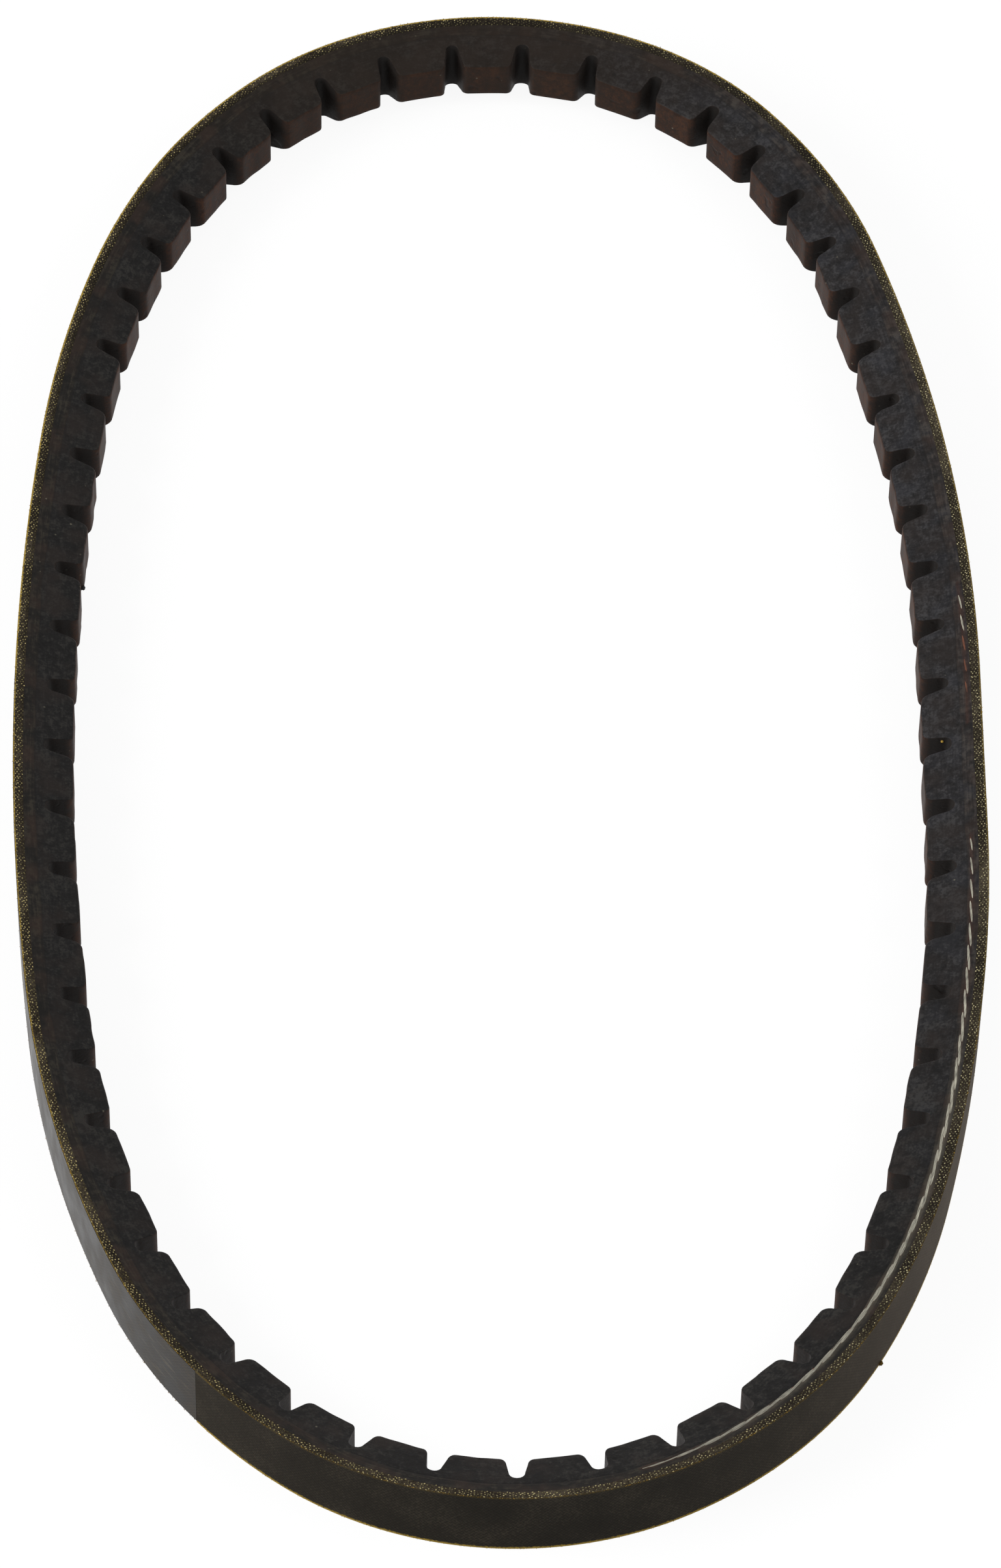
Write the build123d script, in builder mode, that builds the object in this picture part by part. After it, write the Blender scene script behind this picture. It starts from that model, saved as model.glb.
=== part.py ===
from build123d import *

# A raw-edge cogged V-belt: an endless band of fabric, rubber and cord that lies on its side and has relaxed
# into an oval. Its loop lies in X and Y, its width stands along Z, and it rests on the lower edge of its back.
# The origin is the middle of its outline, on the surface that it lies on. Sizes are in millimetres.

import cmath
import math
import os

# Section, across the belt. Depths are counted from the back towards the inside of the loop.
top_width = 13.0
belt_height = 10.0
flank_angle = 18.0

# Length, along the line of the cords, which keeps its length however the belt bends.
cog_count = 59
cog_pitch = 13.5

# Layers, from the back inwards.
ply_names = ("outer_ply", "middle_ply", "inner_ply")
ply_thickness = 0.55
upper_adhesion = 1.25
lower_adhesion = 0.8
web_thickness = 1.3

# Notches between the cogs.
notch_root_width = 2.7
notch_mouth_width = 3.5
notch_root_radius = 0.8
cog_tip_radius = 1.2
cog_tip_relief = 12.0
first_notch = 6.07

# Tension cord, one cord wound side by side across the belt.
cord_diameter = 0.9
cord_spacing = 1.35
cord_cover = 0.3
cord_bond = 0.05
groove_facets = 12
cord_trim = 0.3
bared_run = 150.0

# Label film, vulcanised flush into the back.
label_thickness = 0.1
label_start = 423.0
label_length = 150.0

# The relaxed loop, as tangent bends seen from above and run anticlockwise from the right-hand side:
# (length in cogs, turn in degrees). The first is straight. The two closing bends are the far end and the
# long left side, and their lengths are worked out again so that the loop closes.
loop_bends = (
    (2.5, 0.0),
    (7.5, 16.6),
    (2.9, 22.2),
    (7.3, 96.3),
    (2.1, 18.2),
    (1.7, 10.9),
    (3.1, 11.1),
    (9.4, 12.5),
    (4.0, 16.1),
    (3.2, 29.9),
    (4.7, 64.0),
    (3.1, 34.2),
    (2.3, 14.8),
    (5.2, 13.2),
)
closing_bends = (3, 7)

# Depths that follow from the layers.
fabric_depth = len(ply_names) * ply_thickness
cord_depth = fabric_depth + upper_adhesion
adhesion_depth = cord_depth + lower_adhesion
notch_root_depth = adhesion_depth + web_thickness

pitch_length = cog_count * cog_pitch
cord_radius = cord_diameter / 2
flank_slope = math.tan(math.radians(flank_angle))
quarter_turn = math.pi / 2
middle_z = top_width / 2


def half_width(depth):
    """Half the belt's width at a depth below its back."""
    return top_width / 2 - depth * flank_slope


class Bend:
    """One bend of the belt. Its start and length are on the cord line, and it turns to the left."""

    def __init__(self, start, heading, length, turn):
        self.start = start
        self.heading = heading
        self.length = length
        self.turn = turn

    def at(self, distance):
        """The point on the cord line at a distance along the bend, and the heading there."""
        half_turned = self.turn * distance / self.length / 2
        chord = distance * (math.sin(half_turned) / half_turned if half_turned else 1)
        heading = self.heading + 2 * half_turned
        return self.start + cmath.rect(chord, self.heading + half_turned), heading

    def stretch(self, begin, end):
        """The part of the bend between two distances along it."""
        start, heading = self.at(begin)
        return Bend(start, heading, end - begin, self.turn * (end - begin) / self.length)

    def section_plane(self):
        """Where a section of the belt stands at the bend's start: X is depth, Y is up, Z runs along the belt."""
        back = self.start + cmath.rect(cord_depth, self.heading - quarter_turn)
        inward = cmath.rect(1, self.heading + quarter_turn)
        along = cmath.rect(1, self.heading)
        return Plane(
            origin=(back.real, back.imag, middle_z),
            x_dir=(inward.real, inward.imag, 0),
            z_dir=(along.real, along.imag, 0),
        )

    def turning_axis(self):
        """The upright axis that the bend turns about."""
        centre = self.start + cmath.rect(self.length / self.turn, self.heading + quarter_turn)
        return Axis((centre.real, centre.imag, 0), (0, 0, 1))


def chord_of(heading, degrees):
    """The chord of a bend one unit long."""
    return Bend(0, heading, 1, math.radians(degrees)).at(1)[0]


def cross(a, b):
    return (a.conjugate() * b).imag


def relaxed_loop():
    """The bends of the whole loop, closed and as long as the belt."""
    headings = []
    heading = quarter_turn
    for _, degrees in loop_bends:
        headings.append(heading)
        heading += math.radians(degrees)
    chords = [chord_of(h, degrees) for h, (_, degrees) in zip(headings, loop_bends)]
    spans = [span for span, _ in loop_bends]
    first, second = closing_bends
    open_gap = sum(
        span * chord
        for number, (span, chord) in enumerate(zip(spans, chords))
        if number not in closing_bends
    )
    spread = cross(chords[first], chords[second])
    spans[first] = cross(chords[second], open_gap) / spread
    spans[second] = cross(open_gap, chords[first]) / spread
    unit = pitch_length / sum(spans)
    bends = []
    start = 0
    for span, h, (_, degrees) in zip(spans, headings, loop_bends):
        bends.append(Bend(start, h, span * unit, math.radians(degrees)))
        start = bends[-1].at(span * unit)[0]
    return bends


def back_point(bends, heading):
    """The point of the back where the belt runs in a heading."""
    for bend in bends:
        if bend.heading <= heading <= bend.heading + bend.turn:
            share = (heading - bend.heading) / bend.turn if bend.turn else 0
            point = bend.at(share * bend.length)[0]
            return point + cmath.rect(cord_depth, heading - quarter_turn)


def centred(bends):
    """The loop moved so that the middle of its outline is over the origin."""
    east, north, west, south = (back_point(bends, quarter_turn * turns) for turns in (1, 2, 3, 4))
    middle = complex((east.real + west.real) / 2, (north.imag + south.imag) / 2)
    return [Bend(bend.start - middle, bend.heading, bend.length, bend.turn) for bend in bends]


def stretch_of_loop(begin, length):
    """The bends between two places on the cord line. The stretch may run on past the loop's start."""
    pieces = []
    place = 0
    for bend in 2 * loop:
        low = max(begin, place)
        high = min(begin + length, place + bend.length)
        if high > low:
            pieces.append(bend.stretch(low - place, high - place))
        place += bend.length
    return pieces


def place_on_loop(distance):
    """The point on the cord line at a distance round the loop, and the heading there."""
    return stretch_of_loop(distance % pitch_length, 1)[0].at(0)


loop = centred(relaxed_loop())


def add_layer(outer_depth, inner_depth, bends):
    """Runs the slice of the belt's section between two depths along the bends."""
    outer_half = half_width(outer_depth)
    inner_half = half_width(inner_depth)
    for bend in bends:
        with BuildSketch(bend.section_plane()) as section:
            with BuildLine():
                Polyline(
                    (outer_depth, outer_half),
                    (outer_depth, -outer_half),
                    (inner_depth, -inner_half),
                    (inner_depth, inner_half),
                    close=True,
                )
            make_face()
        if bend.turn:
            revolve(section.sketch, axis=bend.turning_axis(), revolution_arc=math.degrees(bend.turn))
        else:
            extrude(section.sketch, amount=bend.length)


def finish(builder, name):
    """Labels a finished piece and writes it out."""
    builder.part.label = name
    export_step(builder.part, f"parts/{name}.step")


os.makedirs("parts", exist_ok=True)

# Label film, and the back ply that it is pressed into.
label_bends = stretch_of_loop(label_start, label_length)
bare_bends = stretch_of_loop(label_start + label_length, pitch_length - label_length)

with BuildPart() as blank_label_film:
    add_layer(0, label_thickness, label_bends)
finish(blank_label_film, "blank_label_film")

with BuildPart() as outer_ply:
    add_layer(0, ply_thickness, bare_bends)
    add_layer(label_thickness, ply_thickness, label_bends)
finish(outer_ply, ply_names[0])

# The plies under it.
for number, ply_name in enumerate(ply_names[1:], start=1):
    with BuildPart() as ply:
        add_layer(number * ply_thickness, (number + 1) * ply_thickness, loop)
    finish(ply, ply_name)

# Tension cord. Its turns are level all round the loop and step down by one spacing on the straight. The
# topmost turn lies so near the upper flank that the flank trims its side, and it stops after the bared run.
flank_reach = 1 / math.cos(math.radians(flank_angle))
top_turn_z = middle_z + half_width(cord_depth) - (cord_radius - cord_trim) * flank_reach
lowest_turn_z = middle_z - half_width(cord_depth) + (cord_radius + cord_cover) * flank_reach
full_turns = math.floor((top_turn_z - lowest_turn_z) / cord_spacing)
straight = loop[0]


def cord_arc(bend, z):
    """A level bend of the cord."""
    places = (bend.at(bend.length * share)[0] for share in (0, 0.5, 1))
    ThreePointArc(*((place.real, place.imag, z) for place in places))


def step_down(z):
    """Two equal arcs along the straight, the first curving down and the second levelling out."""
    half_run = straight.length / 2
    half_drop = cord_spacing / 2
    half_angle = math.atan(half_drop / half_run)
    radius = half_run / math.sin(2 * half_angle)
    bow = radius * (1 - math.cos(half_angle))
    quarter_run = radius * math.sin(half_angle)
    knots = (
        (0, z),
        (quarter_run, z - bow),
        (half_run, z - half_drop),
        (straight.length - quarter_run, z - cord_spacing + bow),
        (straight.length, z - cord_spacing),
    )
    points = []
    for distance, height in knots:
        place = straight.at(distance)[0]
        points.append((place.real, place.imag, height))
    ThreePointArc(*points[:3])
    ThreePointArc(*points[2:])


with BuildLine() as cord_route:
    for bend in stretch_of_loop(pitch_length - bared_run, bared_run):
        cord_arc(bend, top_turn_z)
    for turn_number in range(full_turns):
        step_down(top_turn_z - turn_number * cord_spacing)
        for bend in loop[1:]:
            cord_arc(bend, top_turn_z - (turn_number + 1) * cord_spacing)

cord_line = cord_route.wire()


cord_end = Plane(origin=cord_line @ 0, x_dir=(0, 0, 1), z_dir=cord_line % 0)

with BuildPart() as belt_envelope:
    add_layer(0, belt_height, loop)

with BuildPart() as tension_cord:
    with BuildSketch(cord_end) as cord_section:
        Circle(cord_radius)
    sweep(cord_section.sketch, path=cord_line)
    add(belt_envelope.part, mode=Mode.INTERSECT)
finish(tension_cord, "tension_cord")

# The groove that the cord is bonded into. Its facets keep so thin a groove true in a coarse mesh, and the
# layers part along the middles of two of them.
with BuildPart() as cord_groove:
    with BuildSketch(cord_end) as groove_section:
        RegularPolygon(cord_radius + cord_bond, groove_facets, rotation=180 / groove_facets)
    sweep(groove_section.sketch, path=cord_line)


def least_gap():
    """The least gap between neighbouring turns of the cord, measured on points half a millimetre apart."""
    step = 0.5
    window = 4
    points = [cord_line @ (step * number / cord_line.length) for number in range(int(cord_line.length / step))]
    points_per_turn = round(pitch_length / step)
    gaps = []
    for number, point in enumerate(points):
        next_turn = number + points_per_turn
        gaps += [(other - point).length for other in points[next_turn - window : next_turn + window + 1]]
    return min(gaps) - cord_diameter


# Adhesion rubber above and below the cord, each with half of the cord's groove.
with BuildPart() as upper_adhesion_rubber:
    add_layer(fabric_depth, cord_depth, loop)
    add(cord_groove.part, mode=Mode.SUBTRACT)
finish(upper_adhesion_rubber, "upper_adhesion_rubber")

with BuildPart() as lower_adhesion_rubber:
    add_layer(cord_depth, adhesion_depth, loop)
    add(cord_groove.part, mode=Mode.SUBTRACT)
finish(lower_adhesion_rubber, "lower_adhesion_rubber")

# Compression rubber. A notch is drawn with X along the belt and Y towards the inside of the loop.
with BuildSketch() as notch:
    root_y = notch_root_depth - cord_depth
    tip_y = belt_height - cord_depth
    reach = notch_mouth_width
    rise = reach * math.tan(math.radians(cog_tip_relief))
    with BuildLine():
        Polyline(
            (-notch_mouth_width / 2 - reach, tip_y + rise),
            (-notch_mouth_width / 2, tip_y),
            (-notch_root_width / 2, root_y),
            (notch_root_width / 2, root_y),
            (notch_mouth_width / 2, tip_y),
            (notch_mouth_width / 2 + reach, tip_y + rise),
            close=True,
        )
    make_face()
    root_corners = notch.vertices().group_by(Axis.Y)[0]
    fillet(root_corners, radius=notch_root_radius)
    mouth_corners = notch.vertices().filter_by(lambda corner: abs(corner.Y - tip_y) < 0.001)
    fillet(mouth_corners, radius=cog_tip_radius)

notch_places = []
for number in range(cog_count):
    point, heading = place_on_loop(first_notch + number * cog_pitch)
    notch_places.append(Location((point.real, point.imag, 0), (0, 0, math.degrees(heading))))

with BuildPart() as cogged_compression_rubber:
    add_layer(adhesion_depth, belt_height, loop)
    with BuildSketch() as notches:
        with Locations(*notch_places):
            add(notch.sketch)
    extrude(amount=top_width, mode=Mode.SUBTRACT)
finish(cogged_compression_rubber, "cogged_compression_rubber")

box = belt_envelope.part.bounding_box()
print(f"outline {box.size.X:.2f} x {box.size.Y:.2f} x {box.size.Z:.2f}")
print(f"cord turns {full_turns}, cord length {cord_line.length:.0f}, least gap {least_gap():.3f}")
print(f"tightest bend of the cord line {min(b.length / b.turn for b in loop if b.turn):.1f}")
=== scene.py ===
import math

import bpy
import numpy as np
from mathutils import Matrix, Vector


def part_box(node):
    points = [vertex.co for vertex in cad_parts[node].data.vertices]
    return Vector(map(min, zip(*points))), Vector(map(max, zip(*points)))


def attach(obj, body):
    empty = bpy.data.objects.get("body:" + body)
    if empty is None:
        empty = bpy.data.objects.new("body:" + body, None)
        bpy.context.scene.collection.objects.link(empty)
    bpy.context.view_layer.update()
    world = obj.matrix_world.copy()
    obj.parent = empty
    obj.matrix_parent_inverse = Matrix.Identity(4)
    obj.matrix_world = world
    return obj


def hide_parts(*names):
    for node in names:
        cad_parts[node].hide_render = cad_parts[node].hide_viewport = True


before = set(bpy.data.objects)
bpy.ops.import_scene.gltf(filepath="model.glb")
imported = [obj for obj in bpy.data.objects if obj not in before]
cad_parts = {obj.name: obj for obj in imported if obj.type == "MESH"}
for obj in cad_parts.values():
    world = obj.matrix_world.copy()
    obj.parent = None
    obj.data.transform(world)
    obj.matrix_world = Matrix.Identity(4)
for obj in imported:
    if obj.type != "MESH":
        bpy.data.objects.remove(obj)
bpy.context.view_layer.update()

# A raw-edge cogged V-belt lying on its side. Each layer is laid again as a finer skin along the belt's own
# line: canvas plies with their cut thread ends, gum rubber round a twisted cord, and the cogged rubber
# under it. Belt sizes are in millimetres and degrees; what goes to Blender is in metres.

MM = 0.001

# The belt's line, as tangent bends run anticlockwise from the right-hand side: (length in cogs, turn in
# degrees). The two closing bends are worked out so that the loop closes.
loop_bends = (
    (2.5, 0.0),
    (7.5, 16.6),
    (2.9, 22.2),
    (7.3, 96.3),
    (2.1, 18.2),
    (1.7, 10.9),
    (3.1, 11.1),
    (9.4, 12.5),
    (4.0, 16.1),
    (3.2, 29.9),
    (4.7, 64.0),
    (3.1, 34.2),
    (2.3, 14.8),
    (5.2, 13.2),
)
closing_bends = [3, 7]
cog_count = 59
cog_pitch = 13.5
pitch_length = cog_count * cog_pitch
flank_slope = math.tan(math.radians(18.0))


def node_reach(node):
    """How far east a node of the frame reaches, in millimetres."""
    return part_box(node)[1].x / MM


# Depths of the layers below the back, and the width across it, as the frame has them.
ply_nodes = ("outer_ply", "middle_ply", "inner_ply")
back_reach = node_reach("outer_ply")
top_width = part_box("outer_ply")[1].z / MM
middle_height = top_width / 2
ply_depths = [back_reach - node_reach(node) for node in ply_nodes]
fabric_depth = back_reach - node_reach("upper_adhesion_rubber")
ply_floors = ply_depths[1:] + [fabric_depth]
cord_depth = 2.9
adhesion_depth = 3.7
belt_height = 10.0

# The wavy seam between the adhesion rubber and the cogged rubber: its depth, how far it waves, half its
# width, how far it has sunk and how strongly painted shade darkens its groove.
seam_middle = adhesion_depth - 0.1
seam_wave = 0.12
seam_half = 0.3
seam_sink = 0.04
seam_shade_strength = 0.6

# Cogs and notches. The faces of the cogs have sunk a little in the mould, unevenly.
first_notch = 6.07
notch_root_depth = 5.25
notch_root_half = 1.35
notch_root_radius = 1.3
notch_mouth_half = 1.75
cog_round_along = 1.2
cog_round_deep = 1.5
cog_crown = 0.12
cog_sink = 0.03
cog_sink_spread = 0.08
cog_sink_most = 0.25
cog_edge = 0.35
notch_edge = 0.2

# Tension cord: three strands twisted together, wound round the belt in level turns that step down on the
# straight. Grinding the flank bared the topmost turn, a strand at a time, but for a stretch that keeps its
# dip and that rubber partly covers. Runs are counted from the start of the loop.
cord_radius = 0.45
strand_radius = 0.215
cord_lay = 14.7
crest_at = 50.0
cord_spacing = 1.35
bed_depth = 0.5
cord_turns = 7
top_turn_height = 11.9
step_run = 2.5 * cog_pitch
bared_from = -150.0
bared_to = 55.5
covered_to = 23.0
untouched_from = -2.3
untouched_to = 42.7
taper_length = 14.0
taper_end = 0.3
ground_proud = 0.03
ground_fade = 0.05

# Label film, and the margins it leaves round itself.
label_start = 423.0
label_length = 150.0
label_thickness = 0.1
label_end_gap = 0.05
label_upper_margin = 0.12
label_lower_margin = 0.27
label_bevel = 0.02


# ------------------------------------------------------------------ the belt's line

turns = np.radians([degrees for _, degrees in loop_bends])
headings = math.pi / 2 + np.concatenate(([0.0], np.cumsum(turns)[:-1]))
unit_chords = np.sinc(turns / 2 / math.pi) * np.exp(1j * (headings + turns / 2))
spans = np.array([span for span, _ in loop_bends])
open_gap = np.delete(spans * unit_chords, closing_bends).sum()
closing_chords = unit_chords[closing_bends]
spans[closing_bends] = np.linalg.solve(
    [closing_chords.real, closing_chords.imag], [-open_gap.real, -open_gap.imag]
)
bend_lengths = spans * pitch_length / spans.sum()
bend_places = np.concatenate(([0.0], np.cumsum(bend_lengths)[:-1]))
bend_starts = np.concatenate(([0.0], np.cumsum(bend_lengths * unit_chords)[:-1]))


def plan_point(distance, depth):
    """The belt in plan: complex points, from distances along the cord line and depths below the back."""
    distance = np.mod(distance, pitch_length)
    bend = np.searchsorted(bend_places, distance, side="right") - 1
    run = distance - bend_places[bend]
    turned = turns[bend] * run / bend_lengths[bend]
    chord = run * np.sinc(turned / 2 / math.pi) * np.exp(1j * (headings[bend] + turned / 2))
    inward = 1j * np.exp(1j * (headings[bend] + turned))
    return bend_starts[bend] + chord + (depth - cord_depth) * inward


outline = plan_point(np.linspace(0, pitch_length, 40001), 0.0)
west_plus_east = outline.real.min() + outline.real.max()
south_plus_north = outline.imag.min() + outline.imag.max()
loop_middle = complex(west_plus_east, south_plus_north) / 2


def on_belt(distance, depth, height):
    """Points in metres in the frame, from distances along the belt, depths below its back and heights."""
    plan = plan_point(distance, depth) - loop_middle
    return np.stack(np.broadcast_arrays(plan.real, plan.imag, height), axis=-1) * MM


def flank_inset(depth):
    """How far a flank has come in from the edge of the back, at a depth."""
    return depth * flank_slope


def ring_noise(distance, waves, seed):
    """A smooth random curve, about -1 to 1, that closes round the belt and has up to so many waves."""
    draw = np.random.default_rng(seed)
    order = np.arange(1, waves + 1)
    phase = draw.uniform(0, 2 * math.pi, waves)
    size = draw.normal(0, 1, waves) / math.sqrt(waves)
    angle = 2 * math.pi * np.asarray(distance)[..., None] / pitch_length
    return (size * np.sin(angle * order + phase)).sum(axis=-1)


def seam_depth(distance):
    """Depth of the seam between the adhesion rubber and the cogged rubber."""
    return seam_middle + seam_wave * ring_noise(distance, waves=70, seed=11)


# ------------------------------------------------------------------ meshes

def in_scene(name, data):
    """A new object, linked to the scene."""
    obj = bpy.data.objects.new(name, data)
    bpy.context.scene.collection.objects.link(obj)
    return obj


def new_object(name, points, faces, material, smooth_angle=40.0):
    """A mesh object, smooth but for its sharp edges."""
    mesh = bpy.data.meshes.new(name)
    mesh.from_pydata(points.tolist(), [], faces)
    mesh.shade_smooth()
    mesh.set_sharp_from_angle(angle=math.radians(smooth_angle))
    mesh.materials.append(material)
    return in_scene(name, mesh)


def write_attribute(obj, name, values, kind="FLOAT", domain="POINT"):
    """Stores numbers for the materials to read, one per point or corner."""
    attribute = obj.data.attributes.new(name, kind, domain)
    key = "vector" if kind == "FLOAT_VECTOR" else "value"
    attribute.data.foreach_set(key, np.ascontiguousarray(values, np.float32).ravel())


def loft(name, distance, depth, height, material, closed=True, smooth_angle=40.0):
    """A skin over sections, row by row along the belt. A row goes round the section from the upper edge of
    the back down to the lower one and home by the inside. Corners know their place on the belt, in
    millimetres, as distance, depth and height."""
    rows, around = depth.shape
    distance = np.broadcast_to(distance, depth.shape)
    points = on_belt(distance, depth, height).reshape(-1, 3)
    index = np.arange(rows * around).reshape(rows, around)
    ahead = np.roll(index, -1, axis=0)
    last = rows if closed else rows - 1
    quads = np.stack([index, np.roll(index, -1, 1), np.roll(ahead, -1, 1), ahead], axis=-1)[:last]
    faces = quads.reshape(-1, 4).tolist()
    corners = quads.ravel()
    if not closed:
        faces += [index[0][::-1].tolist(), index[-1].tolist()]
        corners = np.concatenate([corners, index[0][::-1], index[-1]])
    obj = new_object(name, points, faces, material, smooth_angle)
    run = distance.ravel()[corners]
    if closed:
        past_start = np.zeros((rows, around, 4), bool)
        past_start[-1, :, 2:] = True
        run = run + pitch_length * past_start.ravel()
    belt_mm = np.stack([run, depth.ravel()[corners], height.ravel()[corners]], axis=-1)
    write_attribute(obj, "belt_mm", belt_mm, "FLOAT_VECTOR", "CORNER")
    return obj


def scattered(name, shapes, faces, material, tones):
    """Many small pieces of one make in one mesh. shapes has the points of each, and faces those of one."""
    count, size = shapes.shape[:2]
    starts = np.arange(count)[:, None] * size
    all_faces = []
    for face in faces:
        all_faces += (starts + np.array(face)).tolist()
    obj = new_object(name, shapes.reshape(-1, 3), all_faces, material)
    write_attribute(obj, "tone", np.repeat(tones, size))
    return obj


def tube_faces(corners, rings=3):
    """Faces of a short tube, ring by ring, closed at both ends."""
    faces = []
    for start in range(0, (rings - 1) * corners, corners):
        for corner in range(corners):
            after = (corner + 1) % corners
            ahead = start + corners
            faces.append((start + corner, start + after, ahead + after, ahead + corner))
    faces.append(tuple(range((rings - 1) * corners, rings * corners)))
    faces.append(tuple(range(corners))[::-1])
    return faces


def seated(obj, slot, *nodes):
    """The piece rides on the belt and stands for its nodes. Its slot is not used."""
    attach(obj, "root")
    if nodes:
        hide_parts(*nodes)
    return obj


# ------------------------------------------------------------------ materials

def linear(code):
    """The linear colour of an sRGB hex code."""
    channels = [int(code[place : place + 2], 16) / 255 for place in (1, 3, 5)]
    return [c / 12.92 if c <= 0.04045 else ((c + 0.055) / 1.055) ** 2.4 for c in channels] + [1.0]


def add(tree, kind, links=None, stops=None, **settings):
    """Adds a shader node. Links give a socket a number, a hex colour or a socket; stops are a ramp's. A Mix
    has its share at 0, and its values at 2 and 3 or its colours at 6 and 7. A MapRange takes the range from
    1 to 2 onto that from 3 to 4, or onto 0 to 1."""
    made = tree.nodes.new("ShaderNode" + kind)
    for key, value in settings.items():
        setattr(made, key, value)
    if stops:
        ramp = made.color_ramp.elements
        while len(ramp) < len(stops):
            ramp.new(1.0)
        for element, (place, code) in zip(ramp, stops):
            element.position = place
            element.color = linear(code)
    for socket, value in (links or {}).items():
        if isinstance(value, bpy.types.NodeSocket):
            tree.links.new(value, made.inputs[socket])
        elif isinstance(value, str):
            made.inputs[socket].default_value = linear(value)
        else:
            made.inputs[socket].default_value = value
    return made


def empty_tree(owner):
    """The node tree of a material or a world, with nothing in it."""
    owner.use_nodes = True
    owner.node_tree.nodes.clear()
    return owner.node_tree


def new_material(name, roughness, specular, **sockets):
    """A material, its tree and its shader, whose even values are set on its own sockets."""
    material = bpy.data.materials.new(name)
    tree = empty_tree(material)
    shader = add(tree, "BsdfPrincipled", {
        "Roughness": roughness,
        "Specular IOR Level": specular,
        **{key.replace("_", " "): value for key, value in sockets.items()},
    })
    add(tree, "OutputMaterial", {"Surface": shader.outputs[0]})
    return material, tree, shader


def weave_height(tree, along, across, spacing):
    """Plain weave laid on the bias: 1 where a thread rides on top, 0 in the gaps between threads."""
    diagonals = []
    for operation in ("ADD", "SUBTRACT"):
        leaning = add(tree, "Math", {0: along, 1: across}, operation=operation)
        half_turns = add(tree, "Math", {0: leaning.outputs[0], 1: math.pi / spacing / math.sqrt(2)},
                         operation="MULTIPLY")
        diagonals.append(half_turns.outputs[0])
    sines = [add(tree, "Math", {0: turned}, operation="SINE").outputs[0] for turned in diagonals]
    rounds = [add(tree, "Math", {0: sine}, operation="ABSOLUTE").outputs[0] for sine in sines]
    over = add(tree, "Math", {0: sines[0], 1: sines[1]}, operation="MULTIPLY").outputs[0]
    warp_up = add(tree, "MapRange", {0: over, 1: -0.5, 2: 0.5}).outputs[0]
    return add(tree, "Mix", {0: warp_up, 2: rounds[0], 3: rounds[1]}).outputs[0]


def round_the_belt(tree, along, across, stretch):
    """A place for patterns that run with the belt and close round it, drawn out so many times that way."""
    turned = add(tree, "Math", {0: along, 1: 2 * math.pi / pitch_length}, operation="MULTIPLY").outputs[0]
    radius = pitch_length / (2 * math.pi * stretch)
    east = add(tree, "Math", {0: turned}, operation="COSINE").outputs[0]
    north = add(tree, "Math", {0: turned}, operation="SINE").outputs[0]
    unit = add(tree, "CombineXYZ", {0: east, 1: north}).outputs[0]
    ring = add(tree, "VectorMath", {0: unit, "Scale": radius}, operation="SCALE").outputs[0]
    lift = add(tree, "CombineXYZ", {2: across}).outputs[0]
    return add(tree, "VectorMath", {0: ring, 1: lift}, operation="ADD").outputs[0]


def share_near(tree, along, centre, reach):
    """1 about one place on the loop and 0 from a reach away on, in millimetres."""
    turn = 2 * math.pi / pitch_length
    shifted = add(tree, "Math", {0: along, 1: -centre}, operation="ADD").outputs[0]
    turned = add(tree, "Math", {0: shifted, 1: turn}, operation="MULTIPLY").outputs[0]
    wave = add(tree, "Math", {0: turned}, operation="COSINE").outputs[0]
    edge, full = math.cos(reach * turn), math.cos(reach * turn / 3)
    return add(tree, "MapRange", {0: wave, 1: edge, 2: full}).outputs[0]


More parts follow.
